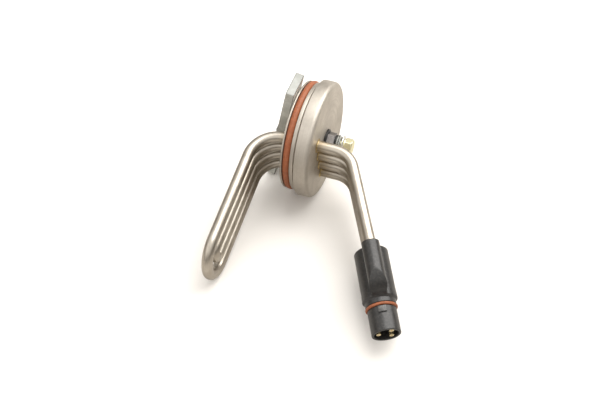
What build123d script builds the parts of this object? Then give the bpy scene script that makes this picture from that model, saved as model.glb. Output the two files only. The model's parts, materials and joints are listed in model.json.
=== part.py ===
from build123d import *
import os
from math import acos, cos, hypot, pi, radians, sin, sqrt, tan

os.makedirs("parts", exist_ok=True)

# Engine block heater: a turned stainless cover plate that closes a round port in the block,
# two nested hairpin elements brazed through it, a swinging clamp bar on a centre screw,
# and a moulded connector boot over the four element ends.
# X is the plate's axis, outward is +X and X = 0 is the flange's seat face. Z is up, all in mm.

# Cover plate
FLANGE_R = 43.0
SPIGOT_R = 40.0
FLANGE_T = 10.5
FLANGE_CHAMFER = 2.6
SPIGOT_L = 11.2
LIP_1 = (-11.2, -9.7)
LIP_2 = (-4.15, -1.4)
GROOVE_R = 35.5
RELIEF_R = 38.6
SEAT_R = 3.3
SEAL_POCKET_R = 8.75
SEAL_POCKET_X = 7.3

# Element tubes
TUBE_R = 4.0
BORE_R = 3.3
CORE_R = 1.6
PITCH = 11.62
ROW_OFFSET = 15.6
LEAN = 11.83
LEFT_X = -34.7
LEFT_BEND_R = 20.6
OUTER_TURN_Y = 89.6
INNER_TURN_Y = 88.65
RIGHT_X = 34.4
RIGHT_BEND_R = 18.8
LEG_ANGLE = 28.5
TUBE_END_S = 76.0
TERMINAL_END_S = 82.5
COLD_X = -17.0

# Connector boot: stations along its own axis, measured from the right-hand corner
BOOT_ANGLE = 26.9
BOOT_PIVOT_S = 73.0
BOOT_START_S = 70.0
LOBE_START_S = 70.9
SHOULDER_S = 106.0
NOSE_END_S = 130.9
BODY_R = 11.7
LOBE_R = 6.1
LOBE_FULL_S = 92.1
TABLE_SLOPE = 0.2
SHOULDER_R = 11.95
NOSE_R = 9.93
MOUTH_R = 8.2
CARRIER_R = 7.4
PIN_R = 1.6
PIN_NECK_R = 1.3
PIN_START_S = 117.4

# Clamp
SCREW_R = 3.0
SCREW_END_X = -26.8
HEAD_AF = 10.0
BAR_T = 6.0
BAR_LOW_Y = -8.6
BAR_HIGH_Y = 13.5
BAR_TOP = 48.5
BAR_BOTTOM = -42.5
BAR_X = -22.7
BAR_SWING = 11.5
NUT_AF = 10.0
NUT_T = 3.2
POCKET_FLOOR = 2.4

OUTER_Z = 1.5 * PITCH
INNER_Z = 0.5 * PITCH
ROWS = (OUTER_Z, INNER_Z, -INNER_Z, -OUTER_Z)
LOBE_CREST = OUTER_Z + LOBE_R


def lean(x, y, z):
    """A point or direction of the upright element, turned with it about the plate's axis."""
    a = radians(LEAN)
    return Vector(x, y * cos(a) - z * sin(a), y * sin(a) + z * cos(a))


LEG = lean(sin(radians(LEG_ANGLE)), -cos(radians(LEG_ANGLE)), 0)
BOOT_AXIS = lean(sin(radians(BOOT_ANGLE)), -cos(radians(BOOT_ANGLE)), 0)
ROW = lean(0, 0, 1)
CORNER = lean(RIGHT_X, -ROW_OFFSET, 0)
BOOT_ZERO = CORNER + LEG * BOOT_PIVOT_S - BOOT_AXIS * BOOT_PIVOT_S

# The boot's own planes: BOOT has the row along x and looks along the boot,
# BOOT_SIDE holds the boot's axis (x) and the row (y), for profiles that are turned.
BOOT = Plane(origin=BOOT_ZERO, x_dir=ROW, z_dir=BOOT_AXIS)
BOOT_SIDE = Plane(origin=BOOT_ZERO, x_dir=BOOT_AXIS, z_dir=BOOT_AXIS.cross(ROW))
BOOT_LINE = Axis(BOOT_ZERO, BOOT_AXIS)
LEGS = Plane(origin=CORNER, x_dir=ROW, z_dir=LEG)


def right_tangent():
    return RIGHT_BEND_R * tan(radians(90 - LEG_ANGLE) / 2)


def leg_point(s, z):
    a = radians(LEG_ANGLE)
    return lean(RIGHT_X + s * sin(a), -ROW_OFFSET - s * cos(a), z)


def right_bend(z):
    """Start, middle and end of the bend from the plate's direction to the leg's."""
    x0 = RIGHT_X - right_tangent()
    y0 = -ROW_OFFSET - RIGHT_BEND_R
    turn = radians(90 - LEG_ANGLE)
    return [
        lean(x0 + RIGHT_BEND_R * sin(t), y0 + RIGHT_BEND_R * cos(t), z)
        for t in (0, turn / 2, turn)
    ]


def left_bend(z):
    x0 = LEFT_X + LEFT_BEND_R
    y0 = -ROW_OFFSET - LEFT_BEND_R
    return [
        lean(x0 - LEFT_BEND_R * sin(t), y0 + LEFT_BEND_R * cos(t), z)
        for t in (0, pi / 4, pi / 2)
    ]


# Cover plate, turned in one piece, with the four tube holes and the screw hole
with BuildPart() as cover_plate:
    with BuildSketch(Plane.XY) as plate_profile:
        with BuildLine():
            Polyline(
                (-SPIGOT_L, SEAT_R),
                (-SPIGOT_L, SPIGOT_R - 0.4),
                (-SPIGOT_L + 0.4, SPIGOT_R),
                (LIP_1[1], SPIGOT_R),
                (LIP_1[1], GROOVE_R),
                (LIP_2[0], GROOVE_R),
                (LIP_2[0], SPIGOT_R),
                (LIP_2[1], SPIGOT_R),
                (LIP_2[1], RELIEF_R),
                (0, RELIEF_R),
                (0, FLANGE_R),
                (FLANGE_T - FLANGE_CHAMFER, FLANGE_R),
                (FLANGE_T, FLANGE_R - FLANGE_CHAMFER),
                (FLANGE_T, SEAL_POCKET_R),
                (SEAL_POCKET_X, SEAL_POCKET_R),
                (SEAL_POCKET_X, SEAT_R),
                close=True,
            )
        make_face()
    revolve(axis=Axis.X)
    for z in ROWS:
        with BuildSketch(Plane(origin=lean(-SPIGOT_L - 2, -ROW_OFFSET, z), z_dir=(1, 0, 0))):
            Circle(TUBE_R)
        extrude(amount=SPIGOT_L + FLANGE_T + 4, mode=Mode.SUBTRACT)
cover_plate.part.label = "cover_plate"
export_step(cover_plate.part, "parts/cover_plate.step")

# Sealing ring in the spigot's groove
with BuildPart() as plate_o_ring:
    with BuildSketch(Plane.XY):
        with Locations(((LIP_1[1] + LIP_2[0]) / 2, GROOVE_R + 2.5)):
            Circle(2.5)
    revolve(axis=Axis.X)
plate_o_ring.part.label = "plate_o_ring"
export_step(plate_o_ring.part, "parts/plate_o_ring.step")

# Outer hairpin: sheath, mineral filling, heating coil and the two cold terminals
with BuildLine() as outer_path:
    Line(leg_point(TUBE_END_S, OUTER_Z), right_bend(OUTER_Z)[2])
    ThreePointArc(*reversed(right_bend(OUTER_Z)))
    Line(right_bend(OUTER_Z)[0], left_bend(OUTER_Z)[0])
    ThreePointArc(*left_bend(OUTER_Z))
    Line(left_bend(OUTER_Z)[2], lean(LEFT_X, -ROW_OFFSET - OUTER_TURN_Y, OUTER_Z))
    ThreePointArc(
        lean(LEFT_X, -ROW_OFFSET - OUTER_TURN_Y, OUTER_Z),
        lean(LEFT_X, -ROW_OFFSET - OUTER_TURN_Y - OUTER_Z, 0),
        lean(LEFT_X, -ROW_OFFSET - OUTER_TURN_Y, -OUTER_Z),
    )
    Line(lean(LEFT_X, -ROW_OFFSET - OUTER_TURN_Y, -OUTER_Z), left_bend(-OUTER_Z)[2])
    ThreePointArc(*reversed(left_bend(-OUTER_Z)))
    Line(left_bend(-OUTER_Z)[0], right_bend(-OUTER_Z)[0])
    ThreePointArc(*right_bend(-OUTER_Z))
    Line(right_bend(-OUTER_Z)[2], leg_point(TUBE_END_S, -OUTER_Z))

with BuildPart() as outer_element_sheath:
    with BuildSketch(Plane(origin=leg_point(TUBE_END_S, OUTER_Z), z_dir=-LEG)):
        Circle(TUBE_R)
        Circle(BORE_R, mode=Mode.SUBTRACT)
    sweep(path=outer_path.wire())
outer_element_sheath.part.label = "outer_element_sheath"
export_step(outer_element_sheath.part, "parts/outer_element_sheath.step")

with BuildPart() as outer_element_filling:
    with BuildSketch(Plane(origin=leg_point(TUBE_END_S, OUTER_Z), z_dir=-LEG)):
        Circle(BORE_R)
        Circle(CORE_R, mode=Mode.SUBTRACT)
    sweep(path=outer_path.wire())
    for z in (OUTER_Z, -OUTER_Z):
        with BuildSketch(Plane(origin=leg_point(TUBE_END_S, z), z_dir=-LEG)):
            Circle(BORE_R + 0.2)
        extrude(amount=3.0, mode=Mode.SUBTRACT)
outer_element_filling.part.label = "outer_element_filling"
export_step(outer_element_filling.part, "parts/outer_element_filling.step")

with BuildLine() as outer_coil_path:
    Line(lean(COLD_X + 3.0, -ROW_OFFSET, OUTER_Z), left_bend(OUTER_Z)[0])
    ThreePointArc(*left_bend(OUTER_Z))
    Line(left_bend(OUTER_Z)[2], lean(LEFT_X, -ROW_OFFSET - OUTER_TURN_Y, OUTER_Z))
    ThreePointArc(
        lean(LEFT_X, -ROW_OFFSET - OUTER_TURN_Y, OUTER_Z),
        lean(LEFT_X, -ROW_OFFSET - OUTER_TURN_Y - OUTER_Z, 0),
        lean(LEFT_X, -ROW_OFFSET - OUTER_TURN_Y, -OUTER_Z),
    )
    Line(lean(LEFT_X, -ROW_OFFSET - OUTER_TURN_Y, -OUTER_Z), left_bend(-OUTER_Z)[2])
    ThreePointArc(*reversed(left_bend(-OUTER_Z)))
    Line(left_bend(-OUTER_Z)[0], lean(COLD_X + 3.0, -ROW_OFFSET, -OUTER_Z))

with BuildPart() as outer_heating_coil:
    with BuildSketch(Plane(origin=lean(COLD_X + 3.0, -ROW_OFFSET, OUTER_Z), z_dir=(-1, 0, 0))):
        Circle(CORE_R)
    sweep(path=outer_coil_path.wire())
outer_heating_coil.part.label = "outer_heating_coil"
export_step(outer_heating_coil.part, "parts/outer_heating_coil.step")

with BuildLine() as outer_terminal_path:
    Line(lean(COLD_X + 3.0, -ROW_OFFSET, OUTER_Z), right_bend(OUTER_Z)[0])
    ThreePointArc(*right_bend(OUTER_Z))
    Line(right_bend(OUTER_Z)[2], leg_point(TERMINAL_END_S, OUTER_Z))

with BuildPart() as outer_terminal_pins:
    with BuildSketch(Plane(origin=lean(COLD_X + 3.0, -ROW_OFFSET, OUTER_Z), z_dir=(1, 0, 0))):
        Circle(CORE_R)
    sweep(path=outer_terminal_path.wire())
    mirror(about=Plane(origin=(0, 0, 0), z_dir=ROW))
outer_terminal_pins.part.label = "outer_terminal_pins"
export_step(outer_terminal_pins.part, "parts/outer_terminal_pins.step")

# Inner hairpin, the same parts inside the outer one's turn
with BuildLine() as inner_path:
    Line(leg_point(TUBE_END_S, INNER_Z), right_bend(INNER_Z)[2])
    ThreePointArc(*reversed(right_bend(INNER_Z)))
    Line(right_bend(INNER_Z)[0], left_bend(INNER_Z)[0])
    ThreePointArc(*left_bend(INNER_Z))
    Line(left_bend(INNER_Z)[2], lean(LEFT_X, -ROW_OFFSET - INNER_TURN_Y, INNER_Z))
    ThreePointArc(
        lean(LEFT_X, -ROW_OFFSET - INNER_TURN_Y, INNER_Z),
        lean(LEFT_X, -ROW_OFFSET - INNER_TURN_Y - INNER_Z, 0),
        lean(LEFT_X, -ROW_OFFSET - INNER_TURN_Y, -INNER_Z),
    )
    Line(lean(LEFT_X, -ROW_OFFSET - INNER_TURN_Y, -INNER_Z), left_bend(-INNER_Z)[2])
    ThreePointArc(*reversed(left_bend(-INNER_Z)))
    Line(left_bend(-INNER_Z)[0], right_bend(-INNER_Z)[0])
    ThreePointArc(*right_bend(-INNER_Z))
    Line(right_bend(-INNER_Z)[2], leg_point(TUBE_END_S, -INNER_Z))

with BuildPart() as inner_element_sheath:
    with BuildSketch(Plane(origin=leg_point(TUBE_END_S, INNER_Z), z_dir=-LEG)):
        Circle(TUBE_R)
        Circle(BORE_R, mode=Mode.SUBTRACT)
    sweep(path=inner_path.wire())
inner_element_sheath.part.label = "inner_element_sheath"
export_step(inner_element_sheath.part, "parts/inner_element_sheath.step")

with BuildPart() as inner_element_filling:
    with BuildSketch(Plane(origin=leg_point(TUBE_END_S, INNER_Z), z_dir=-LEG)):
        Circle(BORE_R)
        Circle(CORE_R, mode=Mode.SUBTRACT)
    sweep(path=inner_path.wire())
    for z in (INNER_Z, -INNER_Z):
        with BuildSketch(Plane(origin=leg_point(TUBE_END_S, z), z_dir=-LEG)):
            Circle(BORE_R + 0.2)
        extrude(amount=3.0, mode=Mode.SUBTRACT)
inner_element_filling.part.label = "inner_element_filling"
export_step(inner_element_filling.part, "parts/inner_element_filling.step")

with BuildLine() as inner_coil_path:
    Line(lean(COLD_X + 3.0, -ROW_OFFSET, INNER_Z), left_bend(INNER_Z)[0])
    ThreePointArc(*left_bend(INNER_Z))
    Line(left_bend(INNER_Z)[2], lean(LEFT_X, -ROW_OFFSET - INNER_TURN_Y, INNER_Z))
    ThreePointArc(
        lean(LEFT_X, -ROW_OFFSET - INNER_TURN_Y, INNER_Z),
        lean(LEFT_X, -ROW_OFFSET - INNER_TURN_Y - INNER_Z, 0),
        lean(LEFT_X, -ROW_OFFSET - INNER_TURN_Y, -INNER_Z),
    )
    Line(lean(LEFT_X, -ROW_OFFSET - INNER_TURN_Y, -INNER_Z), left_bend(-INNER_Z)[2])
    ThreePointArc(*reversed(left_bend(-INNER_Z)))
    Line(left_bend(-INNER_Z)[0], lean(COLD_X + 3.0, -ROW_OFFSET, -INNER_Z))

with BuildPart() as inner_heating_coil:
    with BuildSketch(Plane(origin=lean(COLD_X + 3.0, -ROW_OFFSET, INNER_Z), z_dir=(-1, 0, 0))):
        Circle(CORE_R)
    sweep(path=inner_coil_path.wire())
inner_heating_coil.part.label = "inner_heating_coil"
export_step(inner_heating_coil.part, "parts/inner_heating_coil.step")

with BuildLine() as inner_terminal_path:
    Line(lean(COLD_X + 3.0, -ROW_OFFSET, INNER_Z), right_bend(INNER_Z)[0])
    ThreePointArc(*right_bend(INNER_Z))
    Line(right_bend(INNER_Z)[2], leg_point(TERMINAL_END_S, INNER_Z))

with BuildPart() as inner_terminal_pins:
    with BuildSketch(Plane(origin=lean(COLD_X + 3.0, -ROW_OFFSET, INNER_Z), z_dir=(1, 0, 0))):
        Circle(CORE_R)
    sweep(path=inner_terminal_path.wire())
    mirror(about=Plane(origin=(0, 0, 0), z_dir=ROW))
inner_terminal_pins.part.label = "inner_terminal_pins"
export_step(inner_terminal_pins.part, "parts/inner_terminal_pins.step")

# Four soft seals that close the tube ends round the terminals
with BuildPart() as tube_end_seals:
    for z in ROWS:
        with BuildSketch(Plane(origin=leg_point(TUBE_END_S, z), z_dir=-LEG)):
            Circle(BORE_R)
            Circle(CORE_R, mode=Mode.SUBTRACT)
        extrude(amount=3.0)
tube_end_seals.part.label = "tube_end_seals"
export_step(tube_end_seals.part, "parts/tube_end_seals.step")

# Braze that joins and seals each tube on both faces of the plate
with BuildPart() as braze_rings:
    for z in ROWS:
        with BuildSketch(Plane(origin=lean(0, -ROW_OFFSET, z), x_dir=(1, 0, 0), z_dir=lean(0, -1, 0))):
            with BuildLine():
                Polyline(
                    (FLANGE_T, TUBE_R),
                    (FLANGE_T, TUBE_R + 1.5),
                    (FLANGE_T + 0.5, TUBE_R + 0.6),
                    (FLANGE_T + 1.4, TUBE_R),
                    close=True,
                )
            make_face()
            with BuildLine():
                Polyline(
                    (-SPIGOT_L, TUBE_R),
                    (-SPIGOT_L, TUBE_R + 1.3),
                    (-SPIGOT_L - 0.4, TUBE_R + 0.5),
                    (-SPIGOT_L - 1.1, TUBE_R),
                    close=True,
                )
            make_face()
        revolve(axis=Axis(lean(0, -ROW_OFFSET, z), (1, 0, 0)))
braze_rings.part.label = "braze_rings"
export_step(braze_rings.part, "parts/braze_rings.step")

# Screw seal, spacer and washers on the centre screw, from the plate outwards
with BuildPart() as screw_seal:
    with BuildSketch(Plane.XY):
        with BuildLine():
            Polyline(
                (SEAL_POCKET_X, 3.05),
                (SEAL_POCKET_X, 8.6),
                (11.3, 8.6),
                (11.9, 8.0),
                (11.9, 3.05),
                close=True,
            )
        make_face()
    revolve(axis=Axis.X)
screw_seal.part.label = "screw_seal"
export_step(screw_seal.part, "parts/screw_seal.step")

with BuildPart() as spacer_nut:
    with BuildSketch(Plane.YZ.offset(11.9)):
        RegularPolygon(radius=6.3, side_count=6, major_radius=False, rotation=30)
        Circle(SCREW_R + 0.05, mode=Mode.SUBTRACT)
    extrude(amount=5.5)
    with BuildSketch(Plane.XY) as nut_bevel:
        with BuildLine():
            Polyline((16.6, 7.5), (17.4, 6.2), (17.6, 6.2), (17.6, 8.5), (16.6, 8.5), close=True)
        make_face()
    revolve(axis=Axis.X, mode=Mode.SUBTRACT)
spacer_nut.part.label = "spacer_nut"
export_step(spacer_nut.part, "parts/spacer_nut.step")

with BuildPart() as insulating_washer:
    with BuildSketch(Plane.YZ.offset(17.4)):
        Circle(5.9)
        Circle(SCREW_R + 0.05, mode=Mode.SUBTRACT)
    extrude(amount=1.5)
insulating_washer.part.label = "insulating_washer"
export_step(insulating_washer.part, "parts/insulating_washer.step")

with BuildPart() as plain_washer:
    with BuildSketch(Plane.YZ.offset(18.95)):
        Circle(6.3)
        Circle(SCREW_R + 0.2, mode=Mode.SUBTRACT)
    extrude(amount=1.35)
    chamfer(plain_washer.edges().filter_by(GeomType.CIRCLE).sort_by(Axis.X)[-1:], 0.2)
plain_washer.part.label = "plain_washer"
export_step(plain_washer.part, "parts/plain_washer.step")

# Split spring washer: one turn of a square helix, its two ends apart by the gap
with BuildPart() as spring_washer:
    with BuildLine() as spring_path:
        Helix(pitch=1.26, height=1.2, radius=4.3, center=(21.0, 0, 0), direction=(1, 0, 0))
    with BuildSketch(Plane(origin=spring_path.line @ 0, x_dir=(1, 0, 0), z_dir=spring_path.line % 0)):
        Rectangle(1.4, 2.2)
    sweep(path=spring_path.wire(), is_frenet=True)
    with BuildSketch(Plane.YZ.offset(18.0)):
        Circle(9.0)
    extrude(amount=2.3, mode=Mode.SUBTRACT)
    with BuildSketch(Plane.YZ.offset(22.9)):
        Circle(9.0)
    extrude(amount=3.0, mode=Mode.SUBTRACT)
spring_washer.part.label = "spring_washer"
export_step(spring_washer.part, "parts/spring_washer.step")

# Flanged hexagon screw; its thread passes the plate and the clamp bar
with BuildPart() as clamp_screw:
    with BuildSketch(Plane.XY):
        with BuildLine():
            Polyline(
                (SCREW_END_X, 0),
                (SCREW_END_X, SCREW_R - 0.7),
                (SCREW_END_X + 0.7, SCREW_R),
                (22.9, SCREW_R),
                (22.9, 6.5),
                (23.6, 6.6),
                (24.6, 4.9),
                (25.6, 4.9),
                (25.6, 0),
                close=True,
            )
        make_face()
    revolve(axis=Axis.X)
    with BuildSketch(Plane.YZ.offset(25.2)):
        RegularPolygon(radius=HEAD_AF / 2, side_count=6, major_radius=False, rotation=10)
    extrude(amount=5.8)
    with BuildSketch(Plane.XY):
        with BuildLine():
            Polyline((30.2, 5.9), (31.0, 4.8), (31.2, 4.8), (31.2, 7.0), (30.2, 7.0), close=True)
        make_face()
    revolve(axis=Axis.X, mode=Mode.SUBTRACT)
clamp_screw.part.label = "clamp_screw"
export_step(clamp_screw.part, "parts/clamp_screw.step")

# Clamp bar, tipped so that it passes through the block's port; a pocket in its back holds the nut,
# a slot lets it tip about the screw, and a notch clears the lowest tube once it is square
SWING = radians(BAR_SWING)
BAR_PLANE = Plane(
    origin=(BAR_X, 0, 0), x_dir=(0, 1, 0), z_dir=(cos(SWING), 0, -sin(SWING))
)
BAR_CENTRE_Y = (BAR_LOW_Y + BAR_HIGH_Y) / 2
BAR_CENTRE_Z = (BAR_TOP + BAR_BOTTOM) / 2
with BuildPart() as clamp_bar:
    with BuildSketch(BAR_PLANE.offset(-BAR_T / 2)):
        with Locations((BAR_CENTRE_Y, BAR_CENTRE_Z)):
            RectangleRounded(BAR_HIGH_Y - BAR_LOW_Y, BAR_TOP - BAR_BOTTOM, 0.8)
        SlotOverall(9.4, 6.8, rotation=90, mode=Mode.SUBTRACT)
        with Locations((BAR_LOW_Y, -20.0)):
            RectangleRounded(6.0, 15.0, 1.5, mode=Mode.SUBTRACT)
    extrude(amount=BAR_T)
    with BuildSketch(BAR_PLANE.offset(-BAR_T / 2)):
        with Locations((0, -0.3)):
            RectangleRounded(NUT_AF + 0.5, NUT_AF + 1.4, 0.8)
    extrude(amount=BAR_T - POCKET_FLOOR, mode=Mode.SUBTRACT)
clamp_bar.part.label = "clamp_bar"
export_step(clamp_bar.part, "parts/clamp_bar.step")

# The bar swings about the nut's lower edge, so the nut's face stands where that edge meets the
# pocket's floor
FLOOR = BAR_T / 2 - POCKET_FLOOR
NUT_X = BAR_X + (FLOOR - NUT_AF / 2 * sin(SWING)) / cos(SWING)
with BuildPart() as clamp_nut:
    with BuildSketch(Plane.YZ.offset(NUT_X - 0.02)):
        RectangleRounded(NUT_AF, NUT_AF, 0.6)
        Circle(SCREW_R + 0.05, mode=Mode.SUBTRACT)
    extrude(amount=-NUT_T)
clamp_nut.part.label = "clamp_nut"
export_step(clamp_nut.part, "parts/clamp_nut.step")

# Connector boot: round body, a lobe over each outer tube, shoulder, ring groove and nose
with BuildPart() as plug_boot:
    with BuildSketch(BOOT_SIDE):
        with BuildLine():
            Polyline(
                (BOOT_START_S, 0),
                (BOOT_START_S, BODY_R - 0.9),
                (BOOT_START_S + 0.9, BODY_R),
                (100.0, BODY_R + 0.1),
                (104.0, SHOULDER_R),
                (SHOULDER_S + 0.4, SHOULDER_R),
                (SHOULDER_S + 1.4, 10.5),
                (111.0, 10.5),
                (111.0, 8.9),
                (113.4, 8.9),
                (113.4, NOSE_R),
                (NOSE_END_S - 0.5, NOSE_R),
                (NOSE_END_S, NOSE_R - 0.5),
                (NOSE_END_S, 0),
                close=True,
            )
        make_face()
    revolve(axis=BOOT_LINE)
    with BuildSketch(BOOT.offset(LOBE_START_S)):
        Rectangle(2 * OUTER_Z, 10.0)
        with Locations((OUTER_Z, 0), (-OUTER_Z, 0)):
            Circle(LOBE_R)
    extrude(amount=SHOULDER_S - LOBE_START_S)
    for side in (1, -1):
        with BuildSketch(BOOT_SIDE):
            with BuildLine():
                TangentArc(
                    (LOBE_FULL_S, side * LOBE_CREST),
                    (SHOULDER_S + 0.3, side * SHOULDER_R),
                    tangent=(1, -side * TABLE_SLOPE),
                )
                Polyline(
                    (SHOULDER_S + 0.3, side * SHOULDER_R),
                    (SHOULDER_S + 2.0, side * SHOULDER_R),
                    (SHOULDER_S + 2.0, side * (LOBE_CREST + 3)),
                    (LOBE_FULL_S, side * (LOBE_CREST + 3)),
                    (LOBE_FULL_S, side * LOBE_CREST),
                )
            make_face()
        extrude(amount=8.0, both=True, mode=Mode.SUBTRACT)
    with BuildSketch(BOOT.offset(113.8)):
        with Locations((NOSE_R, 0)):
            Rectangle(1.8, 6.0)
    extrude(amount=4.6)
    with BuildSketch(LEGS.offset(BOOT_START_S - 2)):
        for z in ROWS:
            with Locations((z, 0)):
                Circle(TUBE_R)
    extrude(amount=TUBE_END_S - BOOT_START_S + 2, mode=Mode.SUBTRACT)
    with BuildSketch(BOOT.offset(TUBE_END_S - 0.3)):
        RectangleRounded(2 * OUTER_Z + 5.0, 8.0, 2.0)
    extrude(amount=9.0, mode=Mode.SUBTRACT)
    with BuildSketch(BOOT.offset(84.0)):
        Circle(CARRIER_R)
    extrude(amount=33.0, mode=Mode.SUBTRACT)
    with BuildSketch(BOOT.offset(117.0)):
        Circle(MOUTH_R)
    extrude(amount=20.0, mode=Mode.SUBTRACT)
plug_boot.part.label = "plug_boot"
export_step(plug_boot.part, "parts/plug_boot.step")

# Sealing ring on the connector's nose
with BuildPart() as plug_o_ring:
    with BuildSketch(BOOT_SIDE):
        with Locations((112.2, 9.95)):
            Circle(1.05)
    revolve(axis=BOOT_LINE)
plug_o_ring.part.label = "plug_o_ring"
export_step(plug_o_ring.part, "parts/plug_o_ring.step")

# Contacts: two for the supply, one for earth, in a moulded carrier
LINE_PIN = (4.3, -3.6)
NEUTRAL_PIN = (-4.3, -3.6)
EARTH_PIN = (0.0, 5.1)
with BuildPart() as contact_carrier:
    with BuildSketch(BOOT.offset(109.0)):
        Circle(CARRIER_R)
        with Locations(LINE_PIN, NEUTRAL_PIN, EARTH_PIN):
            Circle(PIN_NECK_R, mode=Mode.SUBTRACT)
    extrude(amount=8.0)
contact_carrier.part.label = "contact_carrier"
export_step(contact_carrier.part, "parts/contact_carrier.step")

with BuildPart() as line_contact:
    with BuildSketch(BOOT.offset(105.0)):
        with Locations(LINE_PIN):
            Circle(PIN_NECK_R)
    extrude(amount=PIN_START_S - 105.0)
    with BuildSketch(BOOT.offset(PIN_START_S)):
        with Locations(LINE_PIN):
            Circle(PIN_R)
    extrude(amount=130.2 - PIN_START_S)
    with BuildSketch(BOOT.offset(130.2)):
        with Locations(LINE_PIN):
            Circle(0.8)
    extrude(amount=-4.0, mode=Mode.SUBTRACT)
line_contact.part.label = "line_contact"
export_step(line_contact.part, "parts/line_contact.step")

with BuildPart() as neutral_contact:
    with BuildSketch(BOOT.offset(105.0)):
        with Locations(NEUTRAL_PIN):
            Circle(PIN_NECK_R)
    extrude(amount=PIN_START_S - 105.0)
    with BuildSketch(BOOT.offset(PIN_START_S)):
        with Locations(NEUTRAL_PIN):
            Circle(PIN_R)
    extrude(amount=130.2 - PIN_START_S)
    with BuildSketch(BOOT.offset(130.2)):
        with Locations(NEUTRAL_PIN):
            Circle(0.8)
    extrude(amount=-4.0, mode=Mode.SUBTRACT)
neutral_contact.part.label = "neutral_contact"
export_step(neutral_contact.part, "parts/neutral_contact.step")

with BuildPart() as earth_contact:
    with BuildSketch(BOOT.offset(105.0)):
        with Locations(EARTH_PIN):
            Circle(PIN_NECK_R)
    extrude(amount=PIN_START_S - 105.0)
    with BuildSketch(BOOT.offset(PIN_START_S)):
        with Locations(EARTH_PIN):
            Circle(PIN_R)
    extrude(amount=130.4 - PIN_START_S)
    with BuildSketch(BOOT.offset(130.4)):
        with Locations(EARTH_PIN):
            Circle(0.8)
    extrude(amount=-4.0, mode=Mode.SUBTRACT)
earth_contact.part.label = "earth_contact"
export_step(earth_contact.part, "parts/earth_contact.step")

# Links inside the boot: each supply contact feeds one end of both hairpins,
# the earth strap bridges the two inner tubes
LINK_L = 18.2
LINK_CENTRE = 10.7
with BuildPart() as line_link:
    with BuildSketch(LEGS.offset(79.5)):
        with Locations((LINK_CENTRE, 0)):
            RectangleRounded(LINK_L, 5.2, 1.0)
        with Locations((OUTER_Z, 0), (INNER_Z, 0)):
            Circle(CORE_R, mode=Mode.SUBTRACT)
    extrude(amount=1.2)
line_link.part.label = "line_link"
export_step(line_link.part, "parts/line_link.step")

with BuildPart() as neutral_link:
    with BuildSketch(LEGS.offset(79.5)):
        with Locations((-LINK_CENTRE, 0)):
            RectangleRounded(LINK_L, 5.2, 1.0)
        with Locations((-OUTER_Z, 0), (-INNER_Z, 0)):
            Circle(CORE_R, mode=Mode.SUBTRACT)
    extrude(amount=1.2)
neutral_link.part.label = "neutral_link"
export_step(neutral_link.part, "parts/neutral_link.step")

with BuildPart() as earth_strap:
    with BuildSketch(LEGS.offset(TUBE_END_S)):
        SlotOverall(PITCH + 7.4, 7.4)
        with Locations((INNER_Z, 0), (-INNER_Z, 0)):
            Circle(2.6, mode=Mode.SUBTRACT)
    extrude(amount=0.8)
earth_strap.part.label = "earth_strap"
export_step(earth_strap.part, "parts/earth_strap.step")


def lead_line(x0, y0, s0, x1, y1, s1):
    a = BOOT.from_local_coords((x0, y0, s0))
    b = BOOT.from_local_coords((x1, y1, s1))
    return a, b


with BuildPart() as line_lead:
    with BuildLine() as line_lead_path:
        Line(*lead_line(2.9, -0.4, 80.7, 4.3, -3.6, 105.0))
    with BuildSketch(Plane(origin=line_lead_path.line @ 0, z_dir=line_lead_path.line % 0)):
        Circle(1.0)
    sweep()
    split(bisect_by=Plane(origin=leg_point(80.7, 0), z_dir=LEG), keep=Keep.TOP)
    split(bisect_by=BOOT.offset(105.0), keep=Keep.BOTTOM)
line_lead.part.label = "line_lead"
export_step(line_lead.part, "parts/line_lead.step")

with BuildPart() as neutral_lead:
    with BuildLine() as neutral_lead_path:
        Line(*lead_line(-2.9, -0.4, 80.7, -4.3, -3.6, 105.0))
    with BuildSketch(Plane(origin=neutral_lead_path.line @ 0, z_dir=neutral_lead_path.line % 0)):
        Circle(1.0)
    sweep()
    split(bisect_by=Plane(origin=leg_point(80.7, 0), z_dir=LEG), keep=Keep.TOP)
    split(bisect_by=BOOT.offset(105.0), keep=Keep.BOTTOM)
neutral_lead.part.label = "neutral_lead"
export_step(neutral_lead.part, "parts/neutral_lead.step")

with BuildPart() as earth_lead:
    with BuildLine() as earth_lead_path:
        Line(*lead_line(0.0, 2.3, 76.8, 0.0, 5.1, 105.0))
    with BuildSketch(Plane(origin=earth_lead_path.line @ 0, z_dir=earth_lead_path.line % 0)):
        Circle(1.0)
    sweep()
    split(bisect_by=Plane(origin=leg_point(76.8, 0), z_dir=LEG), keep=Keep.TOP)
    split(bisect_by=BOOT.offset(105.0), keep=Keep.BOTTOM)
earth_lead.part.label = "earth_lead"
export_step(earth_lead.part, "parts/earth_lead.step")
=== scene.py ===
# %% [markdown]
# # Engine block heater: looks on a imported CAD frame
#
# The CAD model brings every part at its real place and size. This script dresses it: it builds fine
# surfaces with numpy where the look needs more than the CAD mesh gives (threads, soft blends, drawn
# tube with its own coordinates), gives every part a procedural material, and lights it on a white table.
# The parts' lengths are in millimetres and are turned into metres by `MM` at the last moment. Table,
# lamps, camera and the fine reliefs of the finishes are given in metres, as Blender takes them.

# %% Load the frame
import json
from math import cos, pi, radians, sin, tan

import bmesh
import bpy
import numpy as np
from mathutils import Matrix, Vector

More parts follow.
